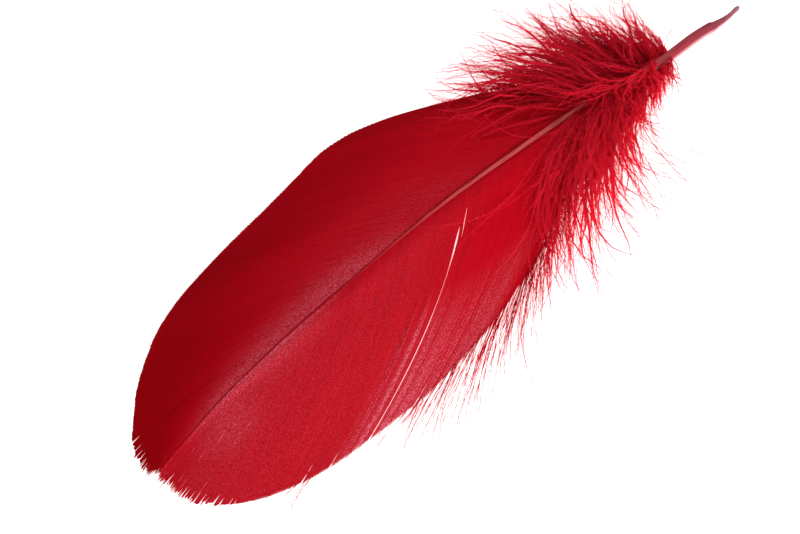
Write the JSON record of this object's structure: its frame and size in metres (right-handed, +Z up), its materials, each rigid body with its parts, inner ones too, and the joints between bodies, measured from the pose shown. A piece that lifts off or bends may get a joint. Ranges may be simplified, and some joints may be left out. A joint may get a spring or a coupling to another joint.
{
  "type": "goose quill feather",
  "caption": "Dyed red goose feather lying back-up: a tapering arched shaft with a bare quill, broad zipped vanes on both sides, a split in one vane, and loose down at the base.",
  "frame": {"origin": "middle of the ground that the feather covers, at the level it lies on", "axes": "+X along the feather towards the quill's end, -X towards the tip, +Y towards the left vane, which is on the left when one looks from the tip towards the quill, +Z up, out of the feather's back"},
  "size_m": [0.1732, 0.0744, 0.0086],
  "materials": {
    "shaft_keratin": "satin",
    "vane_barbs": "satin",
    "down_barbs": "matte"
  },
  "bodies": {
    "root": {"shaft": "shaft_keratin", "vane_left": "vane_barbs", "vane_right": "vane_barbs", "down_left": "down_barbs", "down_right": "down_barbs"}
  },
  "joints": []
}
